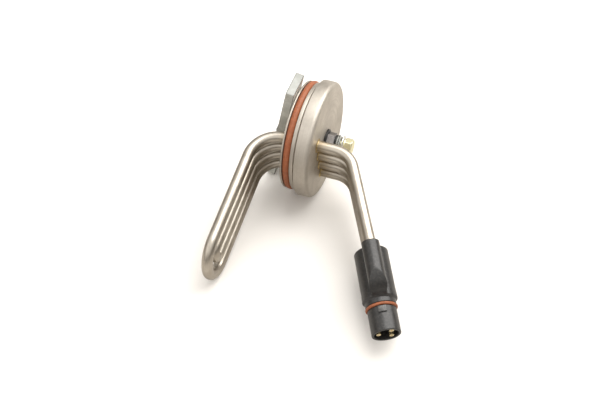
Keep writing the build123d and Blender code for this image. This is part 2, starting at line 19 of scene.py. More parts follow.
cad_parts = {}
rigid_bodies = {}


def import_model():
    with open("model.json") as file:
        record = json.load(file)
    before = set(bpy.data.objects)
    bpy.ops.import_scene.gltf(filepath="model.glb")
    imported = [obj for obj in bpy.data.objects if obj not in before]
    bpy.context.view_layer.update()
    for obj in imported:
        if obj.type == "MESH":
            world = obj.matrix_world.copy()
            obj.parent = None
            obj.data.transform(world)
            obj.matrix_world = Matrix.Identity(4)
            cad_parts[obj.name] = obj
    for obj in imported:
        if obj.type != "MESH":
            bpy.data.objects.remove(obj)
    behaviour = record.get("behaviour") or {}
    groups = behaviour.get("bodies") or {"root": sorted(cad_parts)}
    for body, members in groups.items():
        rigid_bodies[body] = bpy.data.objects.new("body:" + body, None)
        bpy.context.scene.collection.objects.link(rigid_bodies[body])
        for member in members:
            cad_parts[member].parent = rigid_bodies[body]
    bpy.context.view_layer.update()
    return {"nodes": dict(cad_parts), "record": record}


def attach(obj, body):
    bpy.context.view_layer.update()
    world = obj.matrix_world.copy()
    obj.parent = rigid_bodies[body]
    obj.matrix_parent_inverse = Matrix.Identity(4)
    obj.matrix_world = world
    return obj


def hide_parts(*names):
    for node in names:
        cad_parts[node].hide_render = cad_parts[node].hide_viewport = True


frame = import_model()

MM = 0.001

# %% [markdown]
# ## The object's own numbers
#
# The plate's axis is X. The whole element leans about that axis, so one small function turns an
# upright point into its real place. The boot has its own axis, a little steeper than the tubes. Every
# point could be written leaned, but upright numbers can be checked against a drawing.

# %% Driving dimensions
LEAN = radians(11.83)                      # of the row of tubes about the plate's axis
PITCH, TUBE_R, ROW_Y = 11.62, 4.0, -15.6   # the row of four tubes
OUTER_Z, INNER_Z = 1.5 * PITCH, 0.5 * PITCH
LEFT_X, LEFT_BEND = -34.7, 20.6            # engine side: leg and bend
RIGHT_X, RIGHT_BEND = 34.4, 18.8           # connector side: corner and bend
LEG, BOOT_LEG = radians(28.5), radians(26.9)
BOOT_AT = 73.0                             # where leg and boot axes cross, from the corner
FACE_X, BACK_X = 10.5, -11.2               # the plate's outer and inner faces
TABLE_Z = -43.0


def lean(points):
    """Turns points about the X axis by the lean angle: y' = y cos - z sin, z' = y sin + z cos."""
    p = np.asarray(points, float)
    x, y, z = p[..., 0], p[..., 1], p[..., 2]
    c, s = cos(LEAN), sin(LEAN)
    return np.stack([x, y * c - z * s, y * s + z * c], -1)


leg_dir = lean([sin(LEG), -cos(LEG), 0])
boot_dir = lean([sin(BOOT_LEG), -cos(BOOT_LEG), 0])
row_dir = lean([0, 0, 1])
corner = lean([RIGHT_X, ROW_Y, 0])
boot_zero = corner + BOOT_AT * (leg_dir - boot_dir)
side_dir = np.cross(boot_dir, row_dir)
print("boot axis", np.round(boot_dir, 3), "row", np.round(row_dir, 3))

# %% [markdown]
# ## From arrays to meshes
#
# Nearly every surface of the heater is round in section: turned, drawn or moulded. Blender's Screw
# modifier and bevelled curves could make some of them, but a grid of points worked out as an array, rows
# along the shape and columns round it, makes them all and gives coordinates that follow the metal. One
# function turns such an array into a mesh, and the others only fill arrays.

# %% Grid to mesh
def grid_object(name, points, sharp=None):
    """A mesh over an (n, m, 3) array in mm. Quad (i, j) joins rows i, i+1 and columns j, j+1, and the
    last column joins the first. UV is (length along the rows in mm, share of the turn)."""
    n, m = points.shape[:2]
    i, j = np.meshgrid(np.arange(n - 1), np.arange(m), indexing="ij")
    k = (j + 1) % m
    quads = np.stack([i * m + j, i * m + k, (i + 1) * m + k, (i + 1) * m + j], -1).reshape(-1, 4)
    mesh = bpy.data.meshes.new(name)
    mesh.from_pydata((points.reshape(-1, 3) * MM).tolist(), [], quads.tolist())
    step = np.linalg.norm(np.diff(points.mean(1), axis=0), axis=1)
    length = np.concatenate([[0.0], np.cumsum(step)])
    turn = np.arange(m + 1) / m
    uv = np.stack([
        np.stack([length[i], turn[j]], -1), np.stack([length[i], turn[j + 1]], -1),
        np.stack([length[i + 1], turn[j + 1]], -1), np.stack([length[i + 1], turn[j]], -1),
    ], 2)
    mesh.uv_layers.new(name="UVMap").data.foreach_set("uv", uv.reshape(-1).astype(np.float32))
    return finish_mesh(name, mesh, sharp)


def finish_mesh(name, mesh, sharp=None):
    """Smooth shading, with edges above the angle `sharp` (degrees) kept crisp."""
    mesh.validate()
    mesh.polygons.foreach_set("use_smooth", np.ones(len(mesh.polygons), bool))
    if sharp:
        mesh.set_sharp_from_angle(angle=radians(sharp))
    obj = bpy.data.objects.new(name, mesh)
    bpy.context.scene.collection.objects.link(obj)
    return obj


# %% [markdown]
# ## Turned shapes
#
# The plate, the screw, the contacts and the boot's body are profiles turned round an axis. Blender's
# Spin could turn them too, but here the radius may also change with the angle, which later gives the
# hexagon, the thread and the boot's lobes. No real corner is quite sharp, so a profile's corners are
# rounded a little first, and then catch a line of light.

# %% Profile and lathe
def soften(profile, radius, steps=4):
    """Rounds each inner corner b of a polyline a-b-c: it leaves ab at distance d before b, meets bc
    at d after b, and runs between them as (1-t)^2 p + 2t(1-t) b + t^2 q."""
    p = np.asarray(profile, float)
    out = [p[0]]
    for a, b, c in zip(p[:-2], p[1:-1], p[2:]):
        d = min(radius, 0.45 * np.linalg.norm(b - a), 0.45 * np.linalg.norm(c - b))
        p0 = b + (a - b) / np.linalg.norm(a - b) * d
        p1 = b + (c - b) / np.linalg.norm(c - b) * d
        t = np.linspace(0, 1, steps)[:, None]
        out.extend((1 - t) ** 2 * p0 + 2 * t * (1 - t) * b + t ** 2 * p1)
    out.append(p[-1])
    return np.array(out)


def turned(profile, origin, axis, first, sides, radius_of=None):
    """A lathe surface: profile rows (s, r) give origin + s*axis + r(cos(phi)*first + sin(phi)*second).
    radius_of(s, r, phi) may change the radius to make it polygonal, threaded or lobed."""
    axis, first = np.asarray(axis, float), np.asarray(first, float)
    second = np.cross(axis, first)
    phi = np.linspace(0, 2 * pi, sides, endpoint=False)
    s, r = np.meshgrid(profile[:, 0], phi, indexing="ij")[0], np.repeat(profile[:, 1:2], sides, 1)
    if radius_of is not None:
        r = radius_of(s, r, phi[None, :])
    ring = np.cos(phi)[None, :, None] * first + np.sin(phi)[None, :, None] * second
    return np.asarray(origin) + s[..., None] * axis + r[..., None] * ring


X_AXIS, Y_AXIS = np.eye(3)[:2]

# %% [markdown]
# ## Standing for a CAD part
#
# A CAD part is a mesh of loose triangles at its real place. It is right for what is hidden, but too
# coarse where light runs over a bend. There a finer piece rides on the same body and hides the CAD part,
# so that the part still moves and is still named as before; the table of finishes below gives it the
# part's material slot.

# %% Stand for a part
body_of = {n: b for b, nodes in frame["record"]["behaviour"]["bodies"].items() for n in nodes}


def stand_for(obj, node):
    """The piece rides on the node's body and hides the node; the table of finishes gives it the node's
    slot.
    """
    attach(obj, body_of[node])
    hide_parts(node)
    print(obj.name, "stands for", node, "with", len(obj.data.polygons), "faces")


# %% [markdown]
# ## The turned cover plate and its sealing ring
#
# The plate closes the port in the engine's block and carries all the rest. It is turned from one piece,
# so it is one profile, from the engine side outwards: spigot face, ring groove, undercut, flange with
# its rounded rim, face and seal pocket. The tube holes could be cut with Booleans, but the tubes and
# their braze fill them, so nothing of them would show.
#
# The orange ring in the groove is a torus. The torus primitive would do, but the plate's lathe makes it
# in two lines, at its own place and with texture coordinates of the same kind.

# %% Cover plate
PLATE_R, SPIGOT_R, GROOVE_FLOOR, UNDERCUT_R, RIM = 43.0, 40.0, 35.5, 38.6, 3.3
BORE_R, POCKET_R, POCKET_X = 3.3, 8.75, 7.3
GROOVE = (-9.7, -4.15)

plate_profile = soften([
    (BACK_X, BORE_R), (BACK_X, SPIGOT_R - 0.5), (BACK_X + 0.4, SPIGOT_R),
    (GROOVE[0], SPIGOT_R), (GROOVE[0], GROOVE_FLOOR), (GROOVE[1], GROOVE_FLOOR), (GROOVE[1], SPIGOT_R),
    (-1.4, SPIGOT_R), (-1.4, UNDERCUT_R), (0.0, UNDERCUT_R), (0.0, PLATE_R),
    *[(FACE_X - RIM + RIM * sin(t), PLATE_R - RIM + RIM * cos(t)) for t in np.linspace(0, pi / 2, 13)],
    (FACE_X, POCKET_R), (POCKET_X, POCKET_R), (POCKET_X, BORE_R),
], 0.28)
plate = grid_object("plate_turned", turned(plate_profile, (0, 0, 0), X_AXIS, Y_AXIS, 192), sharp=38)
stand_for(plate, "cover_plate")


# %% Sealing ring
SEAL_R, SEAL_WIRE = 38.0, 2.49  # of the ring's centre line and of the rubber itself


def ring_object(name, centre, axis, first, major, minor, sides, around):
    """A torus: a circle of radius minor, carried round the axis at radius major."""
    t = np.linspace(0, 2 * pi, around + 1)
    profile = np.stack([np.sin(t) * minor, major + np.cos(t) * minor], -1)
    return grid_object(name, turned(profile, centre, axis, first, sides))


o_ring = ring_object("plate_seal_ring", (sum(GROOVE) / 2, 0, 0), X_AXIS, Y_AXIS,
                     SEAL_R, SEAL_WIRE, 192, 28)
stand_for(o_ring, "plate_o_ring")

# %% [markdown]
# ## The two hairpins
#
# Each heating element is an 8 mm steel tube, bent into a long hairpin: from the boot up to the plate,
# through it, down on the engine side and back again. A Bezier curve with a round bevel could follow it,
# but its handles only come near to a tube bender's true arcs. So each tube is a circle carried along a
# path of straight runs and arcs, and its normal is passed on without twist, so that the drawn grain
# follows the tube round every bend.

# %% Hairpins
TUBE_END = 74.0                       # the tubes' length from the corner into the boot
OUTER_TURN, INNER_TURN = 89.6, 88.65  # from the row's height down to the start of each turn
SKIN = 0.004                          # keeps the fine tubes just inside the CAD ones


def arc(centre, radius, start, stop, z, n=28):
    """Points centre + radius(sin a, cos a) in the upright XY plane, a from start to stop."""
    a = np.linspace(start, stop, n)
    return np.stack([centre[0] + radius * np.sin(a), centre[1] + radius * np.cos(a), np.full(n, z)], -1)


def hairpin_path(z, turn_y):
    """The centre line of a whole hairpin, from boot to boot, drawn upright and then leaned."""
    reach = RIGHT_BEND * tan((pi / 2 - LEG) / 2)
    right_c = (RIGHT_X - reach, ROW_Y - RIGHT_BEND)
    left_c = (LEFT_X + LEFT_BEND, ROW_Y - LEFT_BEND)
    end = np.array([RIGHT_X + TUBE_END * sin(LEG), ROW_Y - TUBE_END * cos(LEG), z])
    right = arc(right_c, RIGHT_BEND, pi / 2 - LEG, 0, z)
    left = arc(left_c, LEFT_BEND, 0, -pi / 2, z)
    b = np.linspace(0, pi, 48)
    turn = np.stack([np.full(48, LEFT_X), ROW_Y - turn_y - z * np.sin(b), z * np.cos(b)], -1)
    half = np.concatenate([straight(end, right[0]), right[1:], straight(right[-1], left[0])[1:],
                           left[1:], straight(left[-1], turn[0])[1:]])
    back = half[::-1] * [1, 1, -1]
    return lean(np.concatenate([half, turn[1:-1], back]))


def straight(a, b, step=4.0):
    """Evenly spaced points from a to b, about `step` apart."""
    n = max(2, int(np.linalg.norm(np.asarray(b) - a) / step))
    return np.linspace(a, b, n)


def tube_points(path, radius, sides=40):
    """Rings round a path. The first ring's normal is projected onto the next ring's plane and
    normalised, and so on: n' = n - (n.t)t, which carries it along without twist."""
    t = np.gradient(path, axis=0)
    t /= np.linalg.norm(t, axis=1, keepdims=True)
    n = np.cross(t[0], [0.3, 0.2, 1.0])
    normals = []
    for tangent in t:
        n = n - n.dot(tangent) * tangent
        n = n / np.linalg.norm(n)
        normals.append(n)
    normals = np.array(normals)
    other = np.cross(t, normals)
    phi = np.linspace(0, 2 * pi, sides, endpoint=False)
    ring = np.cos(phi)[None, :, None] * normals[:, None] + np.sin(phi)[None, :, None] * other[:, None]
    return path[:, None] + radius * ring


outer_tube = grid_object("outer_hairpin", tube_points(hairpin_path(OUTER_Z, OUTER_TURN), TUBE_R - SKIN))
stand_for(outer_tube, "outer_element_sheath")
inner_tube = grid_object("inner_hairpin", tube_points(hairpin_path(INNER_Z, INNER_TURN), TUBE_R - SKIN))
stand_for(inner_tube, "inner_element_sheath")

# %% [markdown]
# ## Braze beads
#
# Molten braze seals every tube where it passes through the plate. It creeps up the tube and out over
# the plate, never evenly. Sculpting would give that, but not twice the same, so each bead is a lathe
# fillet whose width is changed round its edge by a few sine waves with seeded phases.

# %% Braze beads
rng = np.random.default_rng(7)
ROOT_R = TUBE_R - 0.05  # the beads start just inside the tubes
OUTER_BEAD, INNER_BEAD = (1.35, 1.3), (1.15, 1.0)  # width and height on the plate's two faces


def bead(x_face, direction, z, width, height):
    """Fillet rows from the plate's face (r large) to the tube (r small); the width is multiplied by
    1 + the sum of a_k sin(k phi + p_k), k = 2..5."""
    t = np.linspace(0, 1, 7)
    profile = np.stack([height * t ** 2, ROOT_R + width * (1 - t) ** 2], -1)
    amp, phase = rng.uniform(0.04, 0.13, 4), rng.uniform(0, 2 * pi, 4)

    def wavy(_, r, phi):
        wave = sum(a * np.sin(k * phi + p) for a, k, p in zip(amp, (2, 3, 4, 5), phase))
        return ROOT_R + (r - ROOT_R) * (1 + wave)

    centre = lean([0, ROW_Y, z]) + [x_face, 0, 0]
    return turned(profile, centre, X_AXIS * direction, row_dir, 40, wavy)


def joined(name, objects):
    """Joins meshes into the first one."""
    with bpy.context.temp_override(active_object=objects[0], selected_editable_objects=objects):
        bpy.ops.object.join()
    objects[0].name = name
    return objects[0]


beads = []
for z in (OUTER_Z, INNER_Z, -INNER_Z, -OUTER_Z):
    beads.append(grid_object("bead", bead(FACE_X, 1, z, *OUTER_BEAD)))
    beads.append(grid_object("bead", bead(BACK_X, -1, z, *INNER_BEAD)))
braze = joined("braze_beads", beads)
stand_for(braze, "braze_rings")

# %% [markdown]
# ## The connector boot
#
# The boot is one black moulding that grips the four tubes and ends in the plug. Cylinders joined with
# Booleans would leave hard seams between lobes and body, and a moulding has soft ones. Every section
# across the boot can be seen whole from its axis, so it is one polar map r(phi, s): a round body, a rib
# and a round lobe over each outer tube, joined by a smooth maximum, and a ramp that brings the lobes
# down to the shoulder.

# %% Shape of the boot
# Stations s run along the boot's axis from the point boot_zero; radii are taken round it.
BODY_R, LOBE_R, RIB = 11.7, 6.1, 5.0       # body, lobe round an outer tube, half the rib's width
BOOT_S, LOBE_S, RAMP_S = 70.0, 70.9, 92.1  # where boot, lobes and ramp begin
SHOULDER_S, SHOULDER_R = 106.3, 11.95      # where the ramp ends
NOSE_R, MOUTH_R = 9.87, 8.2
BLEND = 0.32                               # how softly lobes and body meet


def ramp(s):
    """Crest of the lobes over the axis: level to RAMP_S, then the arc that leaves it at slope -0.2
    and ends on the shoulder."""
    p, q = np.array([RAMP_S, OUTER_Z + LOBE_R]), np.array([SHOULDER_S, SHOULDER_R])
    m = np.array([1.0, -0.2])
    m = m / np.linalg.norm(m)
    normal = np.array([m[1], -m[0]])
    chord = q - p
    radius = chord.dot(chord) / (2 * chord.dot(normal))
    c = p + radius * normal
    inside = np.clip(radius ** 2 - (s - c[0]) ** 2, 0, None)
    return np.where(s < RAMP_S, OUTER_Z + LOBE_R, c[1] + np.sqrt(inside))


def boot_radius(s, r, phi):
    """Smooth maximum k*log(sum exp(r_i/k)) of the body radius and the lobe-and-rib radius: the rib's
    ray leaves at RIB/|sin| or the row's end, the lobe's at d cos + sqrt(R^2 - d^2 sin^2), and the
    ramp limits both to ramp(s)/|cos|. The lobes start with a small rounded edge at LOBE_S."""
    c, sn = np.abs(np.cos(phi)), np.abs(np.sin(phi)) + 1e-9
    rib = np.minimum(RIB / sn, OUTER_Z / np.maximum(c, 1e-9))
    reach = LOBE_R ** 2 - (OUTER_Z * sn) ** 2
    lobe = np.where(reach > 0, OUTER_Z * c + np.sqrt(np.clip(reach, 0, None)), 0)
    both = np.minimum(np.maximum(rib, lobe), ramp(s) / np.maximum(c, 1e-9))
    edge = 0.45
    start = np.clip((s - LOBE_S) / edge, 0, 1)
    both = both - edge * (1 - np.sqrt(1 - (1 - start) ** 2))
    both = np.where((s >= LOBE_S) & (s <= SHOULDER_S), both, 0)
    k, far = BLEND, 24  # radii are taken from `far`, so that no exponential overflows
    body, lobes = (np.exp(np.clip((v - far) / k, -200, 50)) for v in (r, both))
    blend = k * np.log(body + lobes) + far
    return np.where(both > 1, np.maximum(blend, r), r)


# %% Boot mesh
# Rows (s, r): rear face, body, shoulder, neck, ring groove, nose, rim and down the mouth's wall.
outer_rows = soften([
    (BOOT_S, 0.05), (BOOT_S, 11.1), (LOBE_S, BODY_R), (100.0, 11.75), (104.0, SHOULDER_R),
    (106.6, SHOULDER_R), (107.6, 10.5), (111.0, 10.5), (111.0, 8.9), (113.4, 8.9), (113.4, NOSE_R),
    (130.55, NOSE_R), (130.85, 9.55), (130.85, 8.5), (130.6, MOUTH_R), (117.0, MOUTH_R), (117.0, 7.0),
], 0.35)
fine = [outer_rows[0]]
for a, b in zip(outer_rows[:-1], outer_rows[1:]):
    n = max(1, int(np.ceil(np.linalg.norm(b - a) / 0.8)))
    fine.extend(np.linspace(a, b, n + 1)[1:])
fine = np.array(fine)
# The lobes start in a step, so the rows crowd together there and the plain ones give way.
edge_rows = [[s, BODY_R] for s in (70.8999, 70.9001, 71.0, 71.12, 71.3)]
step_at = np.searchsorted(fine[:, 0], edge_rows[1][0])
fine = np.insert(fine, step_at, edge_rows, 0)
after = step_at + len(edge_rows)
fine = np.concatenate([fine[:after], fine[after:][fine[after:, 0] > edge_rows[-1][0]]])
boot = grid_object("boot_moulding", turned(fine, boot_zero, boot_dir, row_dir, 288, boot_radius), sharp=50)
stand_for(boot, "plug_boot")

# %% [markdown]
# ## Ring and key on the nose
#
# An orange ring keeps water out of the plug, and a small raised key lets it in one way only. The key is
# a plain rounded block, so it isn't worth a formula: a cube with bevelled edges is made in place.

# %% Nose ring and key
NOSE_SEAL_S, NOSE_SEAL_R, NOSE_SEAL_WIRE = 112.2, 9.95, 1.04
KEY_S, KEY_R, KEY_SIZE = 116.1, 9.95, (1.7, 5.9, 4.5)  # station, radius; size out, across and along

nose_ring = ring_object("nose_seal_ring", boot_zero + NOSE_SEAL_S * boot_dir, boot_dir, row_dir,
                        NOSE_SEAL_R, NOSE_SEAL_WIRE, 96, 18)
stand_for(nose_ring, "plug_o_ring")


def slab(name, centre, axes, size, radius=0.3, steps=3):
    """A rounded box: a cube scaled to size, its edges bevelled, turned to the three axes."""
    bm = bmesh.new()
    bmesh.ops.create_cube(bm, size=1.0)
    for v in bm.verts:
        v.co = Vector([v.co[i] * size[i] * MM for i in range(3)])
    bmesh.ops.bevel(bm, geom=bm.edges[:], offset=radius * MM, segments=steps, affect="EDGES", profile=0.5)
    turn = Matrix([[float(axes[c][r]) for c in range(3)] for r in range(3)]).to_4x4()
    turn.translation = Vector([float(v) * MM for v in centre])
    bm.transform(turn)
    mesh = bpy.data.meshes.new(name)
    bm.to_mesh(mesh)
    bm.free()
    return finish_mesh(name, mesh, 40)


key = slab("boot_key", boot_zero + KEY_S * boot_dir + KEY_R * row_dir,
           (row_dir, side_dir, boot_dir), KEY_SIZE)
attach(key, body_of["plug_boot"])

# %% [markdown]
# ## Contacts
#
# Three bright pins stand in the plug's mouth, just inside its rim. Each has a thinner neck behind it
# and a hollow end with a rounded edge. A cylinder with an inset end would do for one, but one profile
# gives all three, and its edge catches the light.

# %% Contacts
NECK_R, PIN_R, HOLLOW_R = 1.3, 1.6, 0.8
pin_profile = soften([
    (105.0, 0.02), (105.0, NECK_R), (117.4, NECK_R), (117.4, PIN_R), (130.2, PIN_R), (130.2, HOLLOW_R),
    (126.2, HOLLOW_R), (126.2, 0.02),
], 0.22)
contact_places = {"line_contact": (4.3, -3.6), "neutral_contact": (-4.3, -3.6), "earth_contact": (0.0, 5.1)}
for node, (row, side) in contact_places.items():
    centre = boot_zero + row * row_dir + side * side_dir
    pin = grid_object(node + "_pin", turned(pin_profile, centre, boot_dir, row_dir, 40), sharp=50)
    stand_for(pin, node)

# %% [markdown]
# ## The clamp screw
#
# A flanged hexagon screw draws the clamp bar against the block. Its head could be a six-sided cylinder
# and its thread a Screw modifier, but then they would be three meshes to fit together. Both are also
# only a lathe radius that changes with the angle. A hexagon's radius at angle phi is half the width
# across flats over the cosine of the angle to the nearest flat. A chamfer is a cone that cuts it, and a
# thread lets the radius fall and rise once for each pitch along the screw, started one pitch later for
# each full turn round it.

# %% Clamp screw
SHANK_R, THREAD_DEPTH, THREAD_PITCH = 3.0, 0.55, 1.0
SCREW_END, THREAD_END, FLANGE_S = -26.8, 6.0, 22.9  # along the screw's axis
HEX_S, HEX_TOP = 25.3, 30.7                         # the hexagon's two ends
HALF_AF, CORNER_R, CHAMFER_R = 5.0, 5.69, 4.7       # half across flats, corners, top of the chamfer
HEX_TURN = radians(10)


def hexagon(s, r, phi):
    """For the rows of the hexagon: the radius is the least of the flat's half width over cos, the
    slightly rounded corner, and a chamfer cone that falls by 1.15 for each millimetre to the top."""
    a = (phi + HEX_TURN) % (pi / 3) - pi / 6
    flat = np.minimum(HALF_AF / np.cos(a), CORNER_R)
    cone = CHAMFER_R + 1.15 * (HEX_TOP - s)
    return np.where((s > HEX_S - 0.1) & (r > CHAMFER_R), np.minimum(np.minimum(flat, cone), r), r)


def thread(s, r, phi):
    """The shank's radius minus the thread's depth times a rounded triangle wave of
    (s/pitch - phi/2pi), faded out at both ends of the thread."""
    wave = np.abs(((s / THREAD_PITCH - phi / (2 * pi)) % 1.0) * 2 - 1)
    depth = THREAD_DEPTH * np.clip(wave * 1.25 - 0.12, 0, 1)
    fade = np.clip((s - SCREW_END) / 1.0, 0, 1) * np.clip((THREAD_END - s) / 1.5, 0, 1)
    return np.where(r > SHANK_R - 0.1, r - depth * fade, r)


flange_rows = soften([(FLANGE_S, 2.9), (FLANGE_S, 6.4), (23.3, 6.6), (23.7, 6.5), (24.7, 4.85),
                      (HEX_S, 4.85)], 0.2)
hex_rows = np.stack([np.linspace(HEX_S, HEX_TOP, 20), np.full(20, 5.9)], -1)
top_rows = [(HEX_TOP, 4.5), (HEX_TOP - 0.2, 4.2), (HEX_TOP - 0.25, 3.9), (HEX_TOP - 0.25, 0.05)]
head_rows = np.concatenate([flange_rows, hex_rows, top_rows])
head = grid_object("screw_head", turned(head_rows, (0, 0, 0), X_AXIS, Y_AXIS, 144, hexagon), sharp=32)
shank_s = np.concatenate([[SCREW_END], np.arange(SCREW_END, THREAD_END + 0.2, 0.1), [FLANGE_S + 0.1]])
shank_rows = np.stack([shank_s, np.full(len(shank_s), SHANK_R)], -1)
shank_rows[0, 1] = 0.05
shank_rows[1:9, 1] = np.linspace(2.3, SHANK_R, 8)
shank = grid_object("screw_shank", turned(shank_rows, (0, 0, 0), X_AXIS, Y_AXIS, 40, thread))
screw = joined("clamp_screw_threaded", [head, shank])
stand_for(screw, "clamp_screw")

# %% [markdown]
# ## Nodes as text
#
# A finish is a network of shader nodes. It could be joined up by hand in the Shader Editor, but as text
# it can be read and changed in one place. Each helper adds one node and hands on its output, so that
# the networks below read like sums.

# %% Helpers that add nodes
def new_group(name, inputs, outputs):
    """A shader group with float inputs {name: default} and outputs {name: socket type}."""
    group = bpy.data.node_groups.new(name, "ShaderNodeTree")
    for socket, value in inputs.items():
        item = group.interface.new_socket(socket, in_out="INPUT", socket_type="NodeSocketFloat")
        item.default_value = value
    for socket, kind in outputs.items():
        group.interface.new_socket(socket, in_out="OUTPUT", socket_type=kind)
    return group, group.nodes.new("NodeGroupInput"), group.nodes.new("NodeGroupOutput")


def add(tree, kind, *links, **settings):
    """A node with its settings; links are (input name or index, value or output socket)."""
    node = tree.nodes.new(kind)
    for setting, value in settings.items():
        setattr(node, setting, value)
    for socket, value in links:
        if isinstance(value, bpy.types.NodeSocket):
            tree.links.new(value, node.inputs[socket])
        else:
            node.inputs[socket].default_value = value
    return node


def maths(tree, operation, *values, clamp=False):
    """The output of one Math node."""
    node = add(tree, "ShaderNodeMath", *enumerate(values), operation=operation, use_clamp=clamp)
    return node.outputs[0]


def coordinates(tree, kind="Object"):
    """One output of a Texture Coordinate node."""
    return add(tree, "ShaderNodeTexCoord").outputs[kind]


def noise(tree, scale, detail, *links, vector=None):
    """The grey value of a noise on the object's own coordinates, or on the vector given."""
    place = coordinates(tree) if vector is None else vector
    return add(tree, "ShaderNodeTexNoise", ("Vector", place), ("Scale", scale), ("Detail", detail),
               *links).outputs[0]


def noise_1d(tree, place, detail):
    """The grey value of a one-dimensional noise at a place along a line."""
    return add(tree, "ShaderNodeTexNoise", ("W", place), ("Scale", 1.0), ("Detail", detail),
               noise_dimensions="1D").outputs[0]


def part_of(tree, vector, index):
    """x, y or z of a vector, by its index."""
    return add(tree, "ShaderNodeSeparateXYZ", (0, vector)).outputs[index]


# %% [markdown]
# ## Worn edges, and edges painted pale as a highlight
#
# Handling and plating leave the edges of a part brighter or darker than its faces. On the mouldings the
# same mask paints a highlight instead: their edges are painted paler. They could be painted by hand, but
# a Bevel node finds them: where its rounded normal turns away from the real one there is an edge. Noise
# breaks the line up. The rounded normal is handed on too, and softens the light.
#
# This effect and the next ones are groups, made once, so that a finish takes one as a single node and
# gives it values of its own.

# %% Group of worn and highlit edges
VALUE, VECTOR = "NodeSocketFloat", "NodeSocketVector"

edges, given, gives = new_group("worn_edges", {"Radius": 0.0005, "Noise Scale": 900.0, "Amount": 1.0},
                                {"Mask": VALUE, "Normal": VECTOR})
bevel = add(edges, "ShaderNodeBevel", ("Radius", given.outputs["Radius"]), samples=6)
plain = add(edges, "ShaderNodeNewGeometry")
turn = add(edges, "ShaderNodeVectorMath", (0, bevel.outputs[0]), (1, plain.outputs["Normal"]),
           operation="DOT_PRODUCT")
away = maths(edges, "SUBTRACT", 1.0, turn.outputs["Value"])
chips = noise(edges, given.outputs["Noise Scale"], 4.0)
broken = maths(edges, "MULTIPLY", maths(edges, "MULTIPLY", away, 7.0), chips)
edges.links.new(maths(edges, "MULTIPLY", broken, given.outputs["Amount"], clamp=True), gives.inputs["Mask"])
edges.links.new(bevel.outputs[0], gives.inputs["Normal"])

# %% [markdown]
# ## Turning marks
#
# A lathe tool leaves fine rings round the plate's axis, and broader bands where it was set anew. They
# could be modelled, but they are far finer than any mesh. Two noises run along radius + depth in X: the
# fine one gives the relief, the broad one the bands of slightly different tone.

# %% Group of turning marks
BANDS_PER_METRE = 420.0
rings, given, gives = new_group("turning_marks", {"Lines per Metre": 3500.0},
                                {"Height": VALUE, "Band": VALUE})
xyz = add(rings, "ShaderNodeSeparateXYZ", (0, coordinates(rings)))
squares = [maths(rings, "POWER", xyz.outputs[i], 2.0) for i in (1, 2)]
along = maths(rings, "ADD", maths(rings, "SQRT", maths(rings, "ADD", *squares)), xyz.outputs[0])
fine_ring = maths(rings, "MULTIPLY", along, given.outputs["Lines per Metre"])
broad_ring = maths(rings, "MULTIPLY", along, BANDS_PER_METRE)
rings.links.new(noise_1d(rings, fine_ring, 2.0), gives.inputs["Height"])
rings.links.new(noise_1d(rings, broad_ring, 3.0), gives.inputs["Band"])

# %% [markdown]
# ## Drawn grain
#
# Tube is drawn through a die, which leaves streaks along its length. Noise on Object coordinates would
# run straight on through every bend, so this one reads the tube's own UV map. It is wrapped on a long
# thin cylinder (R cos a, R sin a, length), so that it has no seam where the turn ends.

# %% Group of drawn grain
grain, given, gives = new_group("drawn_grain", {"Along": 6.0, "Round": 60.0},
                                {"Height": VALUE, "Streak": VALUE})
tube_uv = add(grain, "ShaderNodeSeparateXYZ", (0, coordinates(grain, "UV")))
stretch = maths(grain, "MULTIPLY", given.outputs["Along"], 0.01)
length_up = maths(grain, "MULTIPLY", tube_uv.outputs[0], stretch)
angle = maths(grain, "MULTIPLY", tube_uv.outputs[1], 2 * pi)
round_r = maths(grain, "MULTIPLY", given.outputs["Round"], 0.16)
ring_x, ring_y = (maths(grain, "MULTIPLY", maths(grain, f, angle), round_r) for f in ("COSINE", "SINE"))
cylinder = add(grain, "ShaderNodeCombineXYZ", (0, ring_x), (1, ring_y), (2, length_up)).outputs[0]
lines = noise(grain, 2.2, 5.0, ("Roughness", 0.65), vector=cylinder)
grain.links.new(lines, gives.inputs["Height"])
grain.links.new(noise(grain, 0.45, 2.0, vector=cylinder), gives.inputs["Streak"])

# %% [markdown]
# ## Mottle and dust
#
# No surface is one even colour. Mottle gives two sizes of cloud, the finer one 14 times finer, for tone
# and roughness. Dust lies in patches where a surface looks up. A picture of stains would show its
# repeats and its edges, and these noises have none.

# %% Groups of mottle and dust
mottle, given, gives = new_group("mottle", {"Size": 120.0}, {"Cloud": VALUE, "Fine": VALUE})
mottle.links.new(noise(mottle, given.outputs["Size"], 4.0, ("Distortion", 0.6)), gives.inputs["Cloud"])
finer = maths(mottle, "MULTIPLY", given.outputs["Size"], 14.0)
mottle.links.new(noise(mottle, finer, 3.0), gives.inputs["Fine"])

dust, given, gives = new_group("dust", {"Amount": 0.5, "Size": 500.0}, {"Mask": VALUE})
up = part_of(dust, add(dust, "ShaderNodeNewGeometry").outputs["Normal"], 2)
patch = noise(dust, given.outputs["Size"], 5.0, ("Roughness", 0.7))
patches = add(dust, "ShaderNodeMapRange", ("Value", patch), ("From Min", 0.45), ("From Max", 0.72))
lying = maths(dust, "MULTIPLY", maths(dust, "MAXIMUM", up, 0.0), patches.outputs[0])
dust.links.new(maths(dust, "MULTIPLY", lying, given.outputs["Amount"], clamp=True), gives.inputs["Mask"])
print("groups:", [group.name for group in bpy.data.node_groups])

# %% [markdown]
# ## Bare metal
#
# Steel, zinc, plating and braze differ in colour and in how they were worked, but all are a little
# cloudy, rougher in the clouds and changed along their edges. A material for each could repeat all
# this. One function makes it instead, and hands back tree, shader and colour, so that a finish can add
# what is its own. The Principled shader stays in the material, outside the groups.

